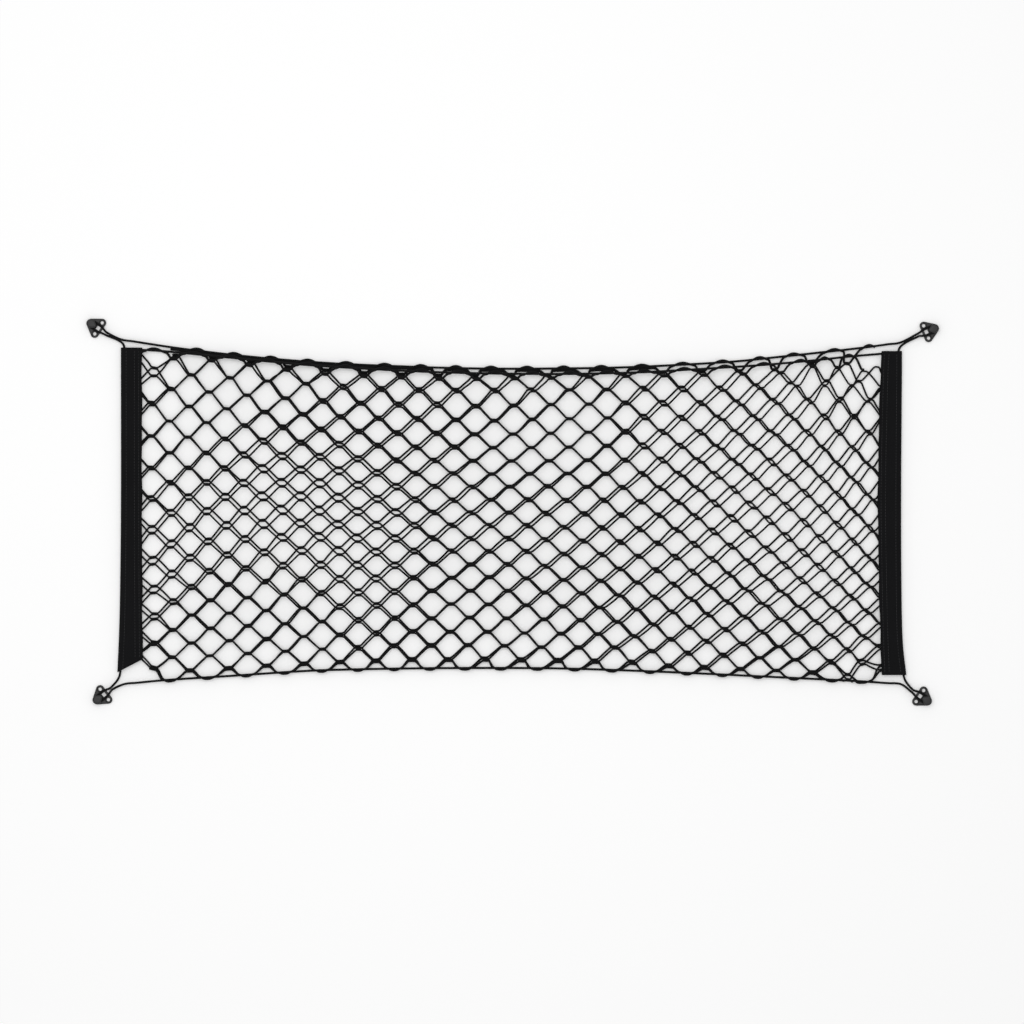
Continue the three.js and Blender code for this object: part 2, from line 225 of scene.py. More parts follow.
# Millimetres, as the solids are drawn: the cords' centre lines, as (x, y).
top_rows = [
    (-450, 198.5), (-385, 188.5), (-300, 178.5), (-215, 171.5), (-128, 167.5),
    (-40, 165), (50, 165), (132, 166.5), (215, 170.5), (260, 173.5),
    (303, 178), (345, 182.5), (403, 189), (446, 195),
]
mouth_rows = [
    (-441, 187), (-408, 185.5), (-366, 181.5), (-281, 173), (-238, 169),
    (-150, 163.5), (-85, 160.5), (-20, 159), (65, 158.5), (150, 160.5),
    (195, 163), (283, 168.5), (345, 174), (390, 179), (436, 183),
]
foot_rows = [
    (-446, -197.5), (-400, -193), (-323, -188), (-240, -182.5), (-200, -181),
    (-118, -179.5), (-35, -179), (53, -179.5), (137, -182), (220, -185.5),
    (303, -189.5), (395, -194), (446, -197.5),
]
# Each band's edges, as (y, outer edge, inner edge).
left_band = [(-184, -454, -425), (-120, -451.5, -425.5), (0, -450, -426), (189, -450, -426)]
right_band = [
    (-187, 452.5, 424.5), (-150, 448.5, 423), (-92, 447, 421.5),
    (20, 446.5, 420), (165, 447.5, 423), (185, 447.5, 424.5),
]
top_line, mouth_line, foot_line = (smooth_line(rows) for rows in (top_rows, mouth_rows, foot_rows))


def band_edges(rows):
    """A band's outer and inner edge at any y, and the way inwards: 1 is to the right."""
    outer = smooth_line([(y, edge) for y, edge, _ in rows])
    inner = smooth_line([(y, edge) for y, _, edge in rows])
    return outer, inner, 1 if inner(0) > outer(0) else -1


_, left_inner, _ = band_edges(left_band)
_, right_inner, _ = band_edges(right_band)

# The netting's columns and rows count half meshes. Its lie is drawn along five of its
# rows: where some of their columns are, midway between the two layers, as (column, x, y) in
# millimetres.
first_column, last_column = -20.3, 21.0
guide_start, guide_end = -21, 22  # columns, a little past the netting's own
top_row, foot_row = -10, 13
drawn_rows = (-8, -3, 2, 7, 12)
lie = (
    [(-21, -456, 165), (-18, -390, 159), (-12, -260, 149), (-6, -129, 140), (0, 1, 140),
     (6, 130, 141), (12, 261, 143), (16, 342, 148), (20, 410, 147), (22, 444, 143)],
    [(-21, -458, 70), (-18, -394, 69), (-12, -265, 65), (-6, -133, 60), (0, -1, 59),
     (6, 129, 60), (12, 256, 58), (16, 338, 56), (20, 410, 54), (22, 444, 53)],
    [(-21, -457, -24), (-18, -392, -19), (-12, -265, -13), (-6, -134, -15), (0, -4, -15),
     (6, 125, -19), (12, 252, -23), (16, 335, -29), (20, 411, -36), (22, 444, -40)],
    [(-21, -455, -108), (-18, -390, -103), (-12, -262, -95), (-6, -135, -91), (0, -5, -91),
     (6, 122, -96), (12, 247, -103), (16, 330, -110), (20, 407, -115), (22, 442, -118)],
    [(-21, -452, -168), (-18, -392, -182), (-12, -261, -175), (-6, -136, -170), (0, -11, -169),
     (6, 116, -172), (9, 180, -176), (13, 262, -180), (16, 324, -183), (17, 345, -184.5),
     (19, 386, -190), (20, 400, -188), (21, 426, -178), (22, 444, -170)],
)
# How far below the mouth cord the front layer's first bonds hang, as (column, down).
first_bonds = [
    (-20, 8.5), (-18, 8.5), (-16, 6.5), (-14, 6.5), (-12, 8.5), (-4, 8.5), (0, 6), (4, 4.5),
    (8, 5.5), (12, 9), (14, 11), (16, 7), (20, 18),
]
first_bond_step = 4.2  # the back layer's are this much higher
# How far the front layer has slipped over the back one, as (column, right, down).
slip = (
    [(-21, -2, 11), (-19, -2, 9), (-17, 0, 1), (-12, 0, 1), (-9, 0, 4), (-4, 1, 3), (2, 2, 2),
     (8, 3, 4), (14, 6, 5), (15, 7, 4), (17, -3, 7), (19, -9, 5), (20, -9, 4), (22, -4, 4)],
    [(-21, 2, 1), (-17, 2, 2), (-14, 3, 6), (-8, 1, 6), (-4, 2, 4), (0, 1, 1), (5, 1, 1),
     (8, 4, 4), (14, 6, 7), (22, 4, 5)],
    [(-21, 0, 6), (-12, 2, 8), (-7, 1, 7), (-4, 3, 3), (6, 3, 3), (12, 5, 5), (16, 6, 7), (22, 5, 6)],
    [(-21, 0, 7), (-19, 0, 7), (-17, 1, 2), (-14, 0, 1), (-11, 0, 3), (-8, 1, 6), (-5, 1, 2),
     (0, 2, 1), (8, 3, 2), (16, 5, 4), (22, 4, 4)],
    [(-21, 0, 1), (-10, 0, 2), (0, 1, 2), (10, 1, 2), (17, 1, 2), (19, 0, 6), (22, 0, 6)],
)

# Radii, and the heights of middles. Both layers climb into the bands' folds. Away from the bands
# and the foot the front layer stands further off the back one, as the pocket's slack side.
twine = 1.05
cord = 1.3
border_height = 2 * twine + cord + 0.35
back_height = 1.47 * twine
front_gap = 2
band_climb, climb_run = 1.1, 18
pocket_rise, rise_run = 6.1, 80
band_margin = 4  # heights don't change within this distance of a band
foot_margin, foot_run = 2, 60
edge_run = 0.9  # rows over which a layer climbs to the border cord


def drawn(lines, column, row):
    """The two values that the drawn lines give at a column, carried smoothly to any row."""
    pair = np.zeros((2,) + np.shape(column))
    for at, line in zip(drawn_rows, lines):
        others = [other for other in drawn_rows if other != at]
        share = np.prod([(row - other) / (at - other) for other in others], axis=0)
        for k in (1, 2):
            pair[k - 1] += share * smooth_line([(point[0], point[k]) for point in line])(column)
    return pair


def layer_place(column, row, is_front):
    """Where the netting's column and row lie, in millimetres."""
    side = 0.5 if is_front else -0.5
    edge_line = mouth_line if is_front else top_line

    def flat(row):
        (x, y), (right, down) = drawn(lie, column, row), drawn(slip, column, row)
        return x + side * right, y - side * down

    # Only the outermost half meshes give way to the cords that they hang on.
    x, y = flat(row)
    top_x, top_y = flat(np.full_like(row, top_row))
    foot_x, foot_y = flat(np.full_like(row, foot_row))
    bond_x, bond_y = flat(np.full_like(row, top_row + 1))
    bond_line = mouth_line(bond_x) - smooth_line(first_bonds)(column)
    if not is_front:
        bond_line = bond_line + first_bond_step
    near_top = 1 - eased(row - top_row, 1)
    near_bond = 1 - eased(np.abs(row - top_row - 1), 1)
    near_foot = 1 - eased(foot_row - row, 1)
    y = y + near_top * (edge_line(top_x) - top_y) + near_bond * (bond_line - bond_y)
    y = y + near_foot * (foot_line(foot_x) - foot_y)

    to_band = np.minimum(x - left_inner(y), right_inner(y) - x) - band_margin
    z = back_height + band_climb * (1 - eased(to_band, climb_run))
    if is_front:
        off_foot = eased(y - foot_line(x) - foot_margin, foot_run)
        z = z + front_gap + pocket_rise * eased(to_band, rise_run) * off_foot
    else:
        z = z + (border_height - z) * (1 - eased(row - top_row, edge_run))
    z = z + (border_height - z) * (1 - eased(foot_row - row, edge_run))
    return x, y, z


def layer_guide(name, is_front):
    """The layer's surface as a grid, which carries its columns and rows as a 0 to 1 map."""
    columns = np.arange(guide_start, guide_end + 0.01, 0.5)
    rows = np.arange(top_row, foot_row + 0.01, 0.25)
    column, row = (grid.ravel() for grid in np.meshgrid(columns, rows))
    places = np.stack(layer_place(column, row, is_front), axis=1) * mm
    wide = len(columns)
    corners = [j * wide + i for j in range(len(rows) - 1) for i in range(wide - 1)]
    mesh = bpy.data.meshes.new(name)
    mesh.from_pydata(places.tolist(), [], [(k, k + 1, k + wide + 1, k + wide) for k in corners])
    chart = mesh.attributes.new("chart", "FLOAT_VECTOR", "POINT")
    across = (column - guide_start) / (guide_end - guide_start)
    down = (row - top_row) / (foot_row - top_row)
    at = np.stack([across, down, 0 * row], axis=1)
    chart.data.foreach_set("vector", at.astype(np.float32).ravel())
    return put(name, mesh)


# ---- The netting ---------------------------------------------------------------------------
# Knotless netting of twisted black polyester twine. Each twine zigzags across the net and is
# laid side by side with its neighbour where they meet. The outer twines turn round the cords.

def new_tree(name, sizes):
    """A Geometry Nodes tree with named inputs, and those inputs as values."""
    tree = bpy.data.node_groups.new(name, "GeometryNodeTree")
    for label, kind in {"Geometry": "Geometry", **sizes}.items():
        tree.interface.new_socket(label, in_out="INPUT", socket_type="NodeSocket" + kind)
    tree.interface.new_socket("Geometry", in_out="OUTPUT", socket_type="NodeSocketGeometry")
    start = tree.nodes.new("NodeGroupInput")
    return tree, {socket.name: Value(socket) for socket in start.outputs if socket.name}


def finish_tree(tree, geometry, material):
    """Ends a tree: its instances are made real and it gets its material."""
    real = Value.make(tree, "GeometryNodeRealizeInstances", {"Geometry": geometry})
    smooth = Value.make(tree, "GeometryNodeSetShadeSmooth", {"Geometry": real})
    dressed = Value.make(tree, "GeometryNodeSetMaterial", {"Geometry": smooth, "Material": material})
    Value.make(tree, "NodeGroupOutput", {"Geometry": dressed})


def grown(name, base, tree, sizes):
    """The plain mesh that a tree makes from a base mesh, as an object of its own."""
    modifier = base.modifiers.new(tree.name, "NODES")
    modifier.node_group = tree
    for item in tree.interface.items_tree:
        if item.in_out == "INPUT" and item.name in sizes:
            modifier[item.identifier] = sizes[item.name]
    depsgraph = bpy.context.evaluated_depsgraph_get()
    mesh = bpy.data.meshes.new_from_object(base.evaluated_get(depsgraph))
    mesh.name = name
    bpy.data.objects.remove(base)
    return put(name, mesh)


def vector_of(tree, x, y, z):
    return Value.make(tree, "ShaderNodeCombineXYZ", {"X": x, "Y": y, "Z": z})


def vector_sum(operation, *terms):
    tree = terms[0].socket.id_data
    return Value.make(tree, "ShaderNodeVectorMath", dict(enumerate(terms)), operation=operation)


def swept(tree, curve, radius, sides):
    """A round strand along a curve, which keeps its run and the way round it for its twist."""
    length = Value.make(tree, "GeometryNodeSplineParameter", output="Length")
    curve = Value.make(
        tree, "GeometryNodeStoreNamedAttribute",
        {"Geometry": curve, "Name": "run", "Value": length}, data_type="FLOAT",
    )
    ring = Value.make(tree, "GeometryNodeCurvePrimitiveCircle", {"Resolution": sides, "Radius": 1.0})
    place = Value.make(tree, "GeometryNodeInputPosition")
    ring = Value.make(
        tree, "GeometryNodeStoreNamedAttribute",
        {"Geometry": ring, "Name": "round", "Value": place}, data_type="FLOAT_VECTOR",
    )
    return Value.make(
        tree, "GeometryNodeCurveToMesh",
        {"Curve": curve, "Profile Curve": ring, "Scale": radius, "Fill Caps": True},
    )


interlaced = 0.75  # a bond's twines lie this share of their own radius from its middle


def twine_rows_tree():
    """Twines that zigzag over a guide surface, one to a row, and may turn round an edge cord."""
    tree, sizes = new_tree("twine rows", {
        "First row": "Int", "Rows": "Int", "Steps": "Int", "First column": "Float",
        "Last column": "Float", "Twine radius": "Float", "Half bond": "Float",
        "Turns": "Float", "Half turn": "Float", "Turn end": "Float", "Edge below": "Float",
        "Outward": "Float", "Turn radius": "Float", "Turn middle": "Float", "Turn swing": "Float",
        "Turn bow": "Float", "Unevenness": "Float", "Slack": "Float", "Seed": "Float",
    })
    one_row = Value.make(tree, "GeometryNodeCurvePrimitiveLine", {
        "Start": vector_of(tree, sizes["First column"], 0.0, 0.0),
        "End": vector_of(tree, sizes["Last column"], 0.0, 0.0),
    })
    one_row = Value.make(tree, "GeometryNodeResampleCurve", {"Curve": one_row, "Count": sizes["Steps"]})
    places = Value.make(tree, "GeometryNodeMeshLine", {
        "Count": sizes["Rows"],
        "Start Location": vector_of(tree, 0.0, sizes["First row"], 0.0),
        "Offset": (0, 1, 0),
    })
    rows = Value.make(tree, "GeometryNodeInstanceOnPoints", {"Points": places, "Instance": one_row})
    rows = Value.make(tree, "GeometryNodeRealizeInstances", {"Geometry": rows})

    place = Value.make(tree, "GeometryNodeInputPosition")
    column = Value.make(tree, "ShaderNodeSeparateXYZ", {"Vector": place})
    row = column.other("Y")

    # Along a row the twine goes down to the row below and back, with a bond at each end.
    phase = column + row + 1
    fall = sum_of("PINGPONG", phase, 1.0)
    bend = clamped((fall - 0.5) / (0.5 - sizes["Half bond"]), -1, 1)
    fallen = 0.5 + 0.5 * bend
    apart = (2 * fallen - 1) * sizes["Twine radius"] * interlaced

    chart = Value.make(
        tree, "GeometryNodeInputNamedAttribute", {"Name": "chart"}, data_type="FLOAT_VECTOR",
    )

    def on_layer(at_row):
        across = (column - guide_start) / (guide_end - guide_start)
        down = (at_row - top_row) / (foot_row - top_row)
        return Value.make(tree, "GeometryNodeSampleUVSurface", {
            "Mesh": sizes["Geometry"], "Value": place, "UV Map": chart,
            "Sample UV": vector_of(tree, across, clamped(down, 0.0005, 0.9995), 0.0),
        }, data_type="FLOAT_VECTOR")

    in_net = vector_sum("ADD", on_layer(row + fallen), vector_of(tree, 0.0, apart, 0.0))

    # At an edge it lies along the cord instead, and goes part of the way round it.
    half_turn = sizes["Half turn"]
    aside = sum_of("FLOORED_MODULO", phase + 1 - sizes["Edge below"], 2.0) - 1
    turned = clamped(aside / half_turn, -1, 1)
    angle = sizes["Turn middle"] + sizes["Turn swing"] * turned + sizes["Turn bow"] * turned * turned
    round_cord = vector_of(
        tree,
        0.0,
        sizes["Turn radius"] * sizes["Outward"] * sum_of("SINE", angle),
        sizes["Turn radius"] * sum_of("COSINE", angle),
    )
    at_edge = vector_sum("ADD", on_layer(row + sizes["Edge below"]), round_cord)
    held = sizes["Turns"] * (1 - stepped(abs(aside), half_turn, sizes["Turn end"]))
    # A Mix node's vectors are its inputs 4 and 5 and its output 1.
    path = Value.make(tree, "ShaderNodeMix", {0: held, 4: in_net, 5: at_edge}, 1, data_type="VECTOR")

    # The meshes are not quite even, and each layer has its own slack, but they keep to the cords.
    from_edge = sum_of("MINIMUM", row + fallen - top_row, foot_row - row - fallen)
    calm_rows = 1.5
    free = clamped(from_edge / calm_rows, 0, 1)
    for scale, seed, amount in (
        (30.0, 3.0, sizes["Unevenness"]), (13.0, sizes["Seed"], sizes["Slack"]),
    ):
        noise = Value.make(tree, "ShaderNodeTexNoise", {
            "Vector": vector_sum("ADD", path, vector_of(tree, seed, 0.0, 0.0)),
            "Scale": scale, "Detail": 1.0,
        }, "Color")
        wander = vector_sum("SUBTRACT", noise, vector_of(tree, 0.5, 0.5, 0.5))
        amount = amount * free
        wander = vector_sum("MULTIPLY", wander, vector_of(tree, amount, amount, 0.0))
        path = vector_sum("ADD", path, wander)
    laid = Value.make(tree, "GeometryNodeSetPosition", {"Geometry": rows, "Position": path})
    thickness = sizes["Twine radius"] * (1 + 0.06 * bend * bend * bend * bend)
    strands = swept(tree, laid, thickness, 8)
    Value.make(tree, "NodeGroupOutput", {"Geometry": strands})
    return tree


twine_rows = twine_rows_tree()
inner_steps = 9  # to a column
edge_steps = 24


def netting_tree():
    """A whole layer: its inner twines, those along its top cord and the one round its foot."""
    tree, sizes = new_tree("netting layer", {
        "Twine radius": "Float", "Cord radius": "Float", "Half bond": "Float",
        "Unevenness": "Float", "Slack": "Float", "Seed": "Float", "Foot turn": "Float",
        "Foot bow": "Float", "Top start": "Float", "Top end": "Float", "Selvage strands": "Int",
        "Finish": "Material",
    })
    common = {
        name: sizes[name]
        for name in ("Geometry", "Twine radius", "Half bond", "Unevenness", "Slack", "Seed")
    }
    common["Turn radius"] = sizes["Twine radius"] + sizes["Cord radius"]
    columns = last_column - first_column
    inner = {
        "First row": top_row + 1, "Rows": foot_row - top_row - 2, "Steps": int(columns * inner_steps),
        "First column": first_column, "Last column": last_column, "Turns": 0.0, "Half turn": 0.5,
        "Turn end": 1.0,
    }
    # The edges' twines are thicker. They end at a bond, or out of sight under the cord.
    top = {
        "First row": top_row, "Rows": 1, "Turns": 1.0, "Steps": int(columns * edge_steps),
        "First column": sizes["Top start"], "Last column": sizes["Top end"], "Half turn": 0.5,
        "Turn end": 0.85, "Twine radius": sizes["Twine radius"] * 1.3, "Edge below": 0.0, "Outward": 1.0,
        "Turn middle": math.radians(90), "Turn swing": math.radians(120), "Turn bow": 0.0,
    }
    # The back layer has a selvage strand inside the border cord, which leaves it further on.
    along_cord = {
        **top, "Rows": sizes["Selvage strands"], "Turn middle": math.radians(-90),
        "Turn swing": 0.0, "Steps": 300,
    }
    selvage = {
        **along_cord, "First column": -18.5, "Last column": -5.5, "Half turn": 1.2, "Turn end": 1.4,
    }
    selvage_end = {**along_cord, "First column": -6.0, "Last column": 8.0}
    foot = {
        "First row": foot_row - 1, "Rows": 1, "Turns": 1.0, "Steps": int(columns * edge_steps),
        "First column": -19.2, "Last column": last_column, "Half turn": 0.3, "Turn end": 0.75,
        "Twine radius": sizes["Twine radius"] * 1.15, "Edge below": 1.0, "Outward": -1.0,
        "Turn middle": sizes["Foot turn"], "Turn swing": 0.0, "Turn bow": sizes["Foot bow"],
    }
    join = tree.nodes.new("GeometryNodeJoinGeometry")
    for part in (inner, top, foot, selvage, selvage_end):
        group = tree.nodes.new("GeometryNodeGroup")
        group.node_tree = twine_rows
        for label, value in {**common, **part}.items():
            if isinstance(value, Value):
                tree.links.new(value.socket, group.inputs[label])
            else:
                group.inputs[label].default_value = value
        tree.links.new(group.outputs[0], join.inputs[0])
    finish_tree(tree, Value(join.outputs[0]), sizes["Finish"])
    return tree


def speckle(tree, scale, detail=2.0):
    """Noise that stays with the piece, 0 to 1."""
    place = Value.make(tree, "ShaderNodeTexCoord", output="Object")
    return Value.make(tree, "ShaderNodeTexNoise", {"Vector": place, "Scale": scale, "Detail": detail})


def feed(tree, shader, tint, roughness, height, relief, strength=1.0):
    """Gives a shader its red, green and blue, its roughness and a relief `relief` metres deep."""
    colour = Value.make(tree, "ShaderNodeCombineColor", dict(zip(("Red", "Green", "Blue"), tint)))
    bump = Value.make(
        tree, "ShaderNodeBump", {"Strength": strength, "Distance": relief, "Height": height},
    )
    tree.links.new(colour.socket, shader["Base Color"])
    tree.links.new(roughness.socket, shader["Roughness"])
    tree.links.new(bump.socket, shader["Normal"])


def strand_finish(name, colour, lay, plies, relief, **sockets):
    """A twisted or braided strand, with painted shade in the grooves between its plies: `lay` is the
    length in which a ply goes once round.
    """
    material, tree, shader = plain_finish(name, **sockets)
    run = Value.make(tree, "ShaderNodeAttribute", output="Fac", attribute_name="run")
    way = Value.make(tree, "ShaderNodeAttribute", output="Vector", attribute_name="round")
    way = Value.make(tree, "ShaderNodeSeparateXYZ", {"Vector": way})
    turn = sum_of("ARCTAN2", way.other("Y"), way)
    ply = abs(sum_of("SINE", turn * (plies / 2) + run * (math.pi * plies / lay)))
    fibre = speckle(tree, 2600.0)
    patch = speckle(tree, 24.0)
    # The colour is partly painted shade, darker in the grooves between the plies and lighter on their
    # crowns, and partly random tone from the fibre and patch noise.
    groove_shade_and_tone = 0.45 + 0.4 * ply + 0.35 * fibre * patch
    tint = [groove_shade_and_tone * part for part in colour]
    feed(tree, shader, tint, 0.78 + 0.18 * fibre, ply ** 0.6 + 0.25 * fibre, relief)
    return material


twine_finish = strand_finish(
    "twisted twine", (0.0068, 0.0068, 0.0072), 7 * mm, 3, 0.25 * mm,
    Specular_IOR_Level=0.1, Sheen_Weight=0.01, Sheen_Roughness=0.5,
)
netting = netting_tree()
for name, node, is_front, seed, foot_turn in (
    ("netting_back", "net_back", False, 3.0, 118),
    ("netting_front", "net_front", True, 8.0, 62),
):
    layer = grown(name, layer_guide(name + "_guide", is_front), netting, {
        "Twine radius": twine * mm, "Cord radius": cord * mm, "Half bond": 0.17,
        "Unevenness": 2 * mm, "Slack": 5 * mm, "Seed": seed, "Finish": twine_finish,
        "Foot turn": math.radians(foot_turn),
        "Foot bow": math.radians(180 - foot_turn if foot_turn > 90 else -foot_turn),
        "Top start": -20.0 if is_front else -18.2, "Top end": 20.0 if is_front else 19.45,
        "Selvage strands": 0 if is_front else 1,
    })
    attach(layer, "root")
    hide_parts(node)


# ---- The side bands ------------------------------------------------------------------------
# Ribbed polypropylene webbing, 50 mm wide, folded in half lengthwise over the netting's ends
# and the border cord. Its cut ends are heat sealed.

def webbing_finish():
    """Weft ribs across the band and fine warp lines along it, on the webbing's own map, with painted
    shade in the valleys between the ribs.
    """
    material, tree, shader = plain_finish(
        "ribbed webbing", Specular_IOR_Level=0.08, Sheen_Weight=0.008, Sheen_Roughness=0.5,
    )
    chart = Value.make(tree, "ShaderNodeUVMap", uv_map="weave")
    across = Value.make(tree, "ShaderNodeSeparateXYZ", {"Vector": chart})
    along = across.other("Y")
    warp_spacing, rib_spacing = 1.1 * mm, 0.9 * mm
    warp = sum_of("SINE", across * (2 * math.pi / warp_spacing))
    shift = sum_of("FLOOR", across / warp_spacing) * math.pi
    weft = sum_of("SINE", along * (math.pi / rib_spacing) + shift)
    rib = abs(weft) ** 0.7 * (0.6 + 0.4 * abs(warp))
    fibre = speckle(tree, 1800.0)
    patch = speckle(tree, 30.0, 3.0)
    # The colour is partly painted shade, darker in the valleys between the ribs and lighter on their
    # tops, and partly random tone from the patch noise.
    groove_shade_and_tone = 0.6 + 0.35 * rib + 0.4 * (patch - 0.5)
    tint = [groove_shade_and_tone * part for part in (0.0062, 0.0062, 0.007)]
    feed(tree, shader, tint, 0.7 + 0.2 * fibre, rib + 0.15 * fibre, 0.25 * mm, 0.8)
    return material


webbing_thickness = 1.1
band_thickness = 6.3
band_finish = webbing_finish()


def band_section(width):
    """The fold's closed outline as (inset from its outer face, height, way across the webbing)."""
    middle = band_thickness / 2
    arc = [math.radians(a) for a in np.linspace(-90, 90, 11)]
    flats = np.linspace(width, middle, 9)[:-1]

    def half_outline(offset):
        radius = middle - offset
        lower = [(x, offset, x - width) for x in flats]
        fold = [
            (middle - radius * math.cos(a), middle + radius * math.sin(a),
             middle - width + radius * (a + math.pi / 2))
            for a in arc
        ]
        end = fold[-1][2]
        upper = [(x, band_thickness - offset, end + x - middle) for x in flats[::-1]]
        return lower + fold + upper

    # The webbing's two long edges are rounded off to a tip in the middle of its thickness.
    outside, inside = half_outline(0), half_outline(webbing_thickness)
    tip = 0.35
    for outline in (outside, inside):
        for end in (0, -1):
            x, z, way = outline[end]
            outline[end] = (x - tip, z, way)
    upper_tip = (width, band_thickness - webbing_thickness / 2, outside[-1][2] + tip)
    lower_tip = (width, webbing_thickness / 2, outside[0][2] - tip)
    return [*outside, upper_tip, *inside[::-1], lower_tip]


def side_band(name, rows, slant):
    """A band lofted from its lower end up, a little wavy. `slant` is how much higher the inner
    corner of its lower end is."""
    outer, inner, inwards = band_edges(rows)
    low, high = rows[0][0], rows[-1][0]
    levels = np.linspace(0, 1, 126)
    width = abs(inner(0) - outer(0))
    section = band_section(width)
    edge_wave, face_wave = 0.25, 0.12
    places, map_places = [], []
    for level in levels:
        for inset, z, way in section:
            y = low + (high - low) * level
            share = inset / width
            reach = abs(inner(y) - outer(y)) / width
            wave = edge_wave * share * (math.sin(y / 9.1) + math.sin(y / 15.7 + 1.3 * z))
            x = outer(y) + inwards * (inset * reach + wave)
            y += slant * share * (1 - level)
            height = z + face_wave * z / band_thickness * math.sin(y / 12.3 + 7 * share)
            places.append((x * mm, y * mm, max(height, 0) * mm))
            map_places.append((way * mm, y * mm))
    count = len(section)
    faces = [
        (a * count + k, a * count + (k + 1) % count,
         (a + 1) * count + (k + 1) % count, (a + 1) * count + k)
        for a in range(len(levels) - 1) for k in range(count)
    ]
    lower_end = list(range(count))[::-1]
    upper_end = list(range((len(levels) - 1) * count, len(levels) * count))
    mesh = bpy.data.meshes.new(name)
    mesh.from_pydata(places, [], [*faces, lower_end, upper_end])
    weave = mesh.uv_layers.new(name="weave")
    for loop in mesh.loops:
        weave.data[loop.index].uv = map_places[loop.vertex_index]
    shape = bmesh.new()
    shape.from_mesh(mesh)
    bmesh.ops.recalc_face_normals(shape, faces=shape.faces)
    shape.to_mesh(mesh)
    shape.free()
    for polygon in mesh.polygons:
        polygon.use_smooth = len(polygon.vertices) == 4
    mesh.materials.append(band_finish)
    return put(name, mesh)


for name, node, rows, slant in (
    ("webbing_left", "band_left", left_band, 15),
    ("webbing_right", "band_right", right_band, 0),
):
    band = side_band(name, rows, slant)
    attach(band, "root")
    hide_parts(node)


# ---- The stitching -------------------------------------------------------------------------
# Two rows of lockstitch through each folded band, which catch the netting's ends, and a third
# that closes the cord's tunnel along the fold. Bonded black polyester thread.

def stitch_tree():
    """Short rounded stitches, one after another along the lines of a mesh."""
    tree, sizes = new_tree("stitches", {
        "Spacing": "Float", "Length": "Float", "Thread": "Float", "Finish": "Material",
    })
    row = Value.make(tree, "GeometryNodeMeshToCurve", {"Mesh": sizes["Geometry"]})
    points = Value.make(
        tree, "GeometryNodeCurveToPoints", {"Curve": row, "Length": sizes["Spacing"]}, mode="LENGTH",
    )
    stitch = Value.make(tree, "GeometryNodeMeshUVSphere", {"Segments": 6, "Rings": 5, "Radius": 1.0})
    size = vector_of(tree, sizes["Thread"], sizes["Thread"], sizes["Length"] / 2)
    stitches = Value.make(tree, "GeometryNodeInstanceOnPoints", {
        "Points": points, "Instance": stitch, "Rotation": points.other("Rotation"), "Scale": size,
    })
    finish_tree(tree, stitches, sizes["Finish"])
    return tree


thread_finish, _, _ = plain_finish(
    "bonded thread", Base_Color=(0.006, 0.006, 0.007, 1), Roughness=0.55, Specular_IOR_Level=0.4,
)
stitches = stitch_tree()
row_end = 5  # from a band's end to a row's, but the left band's slanted end shortens two rows
for name, rows, inner_end in (
    ("stitches_left", left_band, 19),
    ("stitches_right", right_band, row_end),
):
    outer, inner, inwards = band_edges(rows)
    mesh = bpy.data.meshes.new(name + "_rows")
    points, edges = [], []
    for edge, from_edge, low_end in (
        (inner, -3, inner_end), (inner, -8, inner_end), (outer, 6.5, row_end),
    ):
        for height in (0.2, band_thickness - 0.1):
            start = len(points)
            for y in np.linspace(rows[0][0] + low_end, rows[-1][0] - row_end, 40):
                points.append(((edge(y) + inwards * from_edge) * mm, y * mm, height * mm))
            edges += [(k, k + 1) for k in range(start, len(points) - 1)]
    mesh.from_pydata(points, edges, [])
    sewn = grown(name, put(name + "_rows", mesh), stitches, {
        "Spacing": 3.4 * mm, "Length": 2.9 * mm, "Thread": 0.32 * mm, "Finish": thread_finish,
    })
    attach(sewn, "root")


# ---- The cords -----------------------------------------------------------------------------
# Rubber-cored elastic cord with a braided black cover. One closed round edges the net, runs
# through both bands' folds and makes a loop for each hook; the other edges the mouth.

def cord_tree():
    """A round cord on a smooth curve through the points of a mesh."""
    tree, sizes = new_tree("elastic cord", {
        "Step": "Float", "Cord radius": "Float", "Finish": "Material",
    })
    route = Value.make(tree, "GeometryNodeMeshToCurve", {"Mesh": sizes["Geometry"]})
    route = Value.make(tree, "GeometryNodeCurveSplineType", {"Curve": route}, spline_type="CATMULL_ROM")
    route = Value.make(
        tree, "GeometryNodeResampleCurve", {"Curve": route, "Length": sizes["Step"]}, mode="LENGTH",
    )
    finish_tree(tree, swept(tree, route, sizes["Cord radius"], 12), sizes["Finish"])
    return tree


def route_base(name, points):
    """The points, given in millimetres, joined one to the next."""
    mesh = bpy.data.meshes.new(name)
    mesh.from_pydata(
        [tuple(value * mm for value in point) for point in points],
        [(k, k + 1) for k in range(len(points) - 1)],
        [],
    )
    return put(name, mesh)


# Where each hook stands and the way it points, as (x, y, degrees).
hooks = {
    "hook_top_left": (-476.7, 211.8, 146),
    "hook_bottom_left": (-470, -210, 218),
    "hook_bottom_right": (469, -211.8, 326),
    "hook_top_right": (476.2, 207.5, 22),
}
loop_height = 4.1
loop_radius = 3.9
post_reach = 7.6  # from a hook's place to its post's far end
fold_height = band_thickness / 2
fold_inset = 2.7  # from a band's outer edge to the cord in its fold
band_overrun = 4  # how far that cord goes straight on past the band's ends
dip_run = 12  # over how much of its length the mouth cord comes down into a fold


def across_net(rows, line):
    """The border cord's points over the net, from left to right."""
    xs = np.linspace(rows[0][0], rows[-1][0], 60)
    return [(x, float(line(x)), border_height) for x in xs]


def through_band(rows):
    """The border cord's points in a band's fold, from its lower end up."""
    outer, _, inwards = band_edges(rows)
    ys = np.linspace(rows[0][0] - band_overrun, rows[-1][0] + band_overrun, 20)
    return [(float(outer(y)) + inwards * fold_inset, y, fold_height) for y in ys]


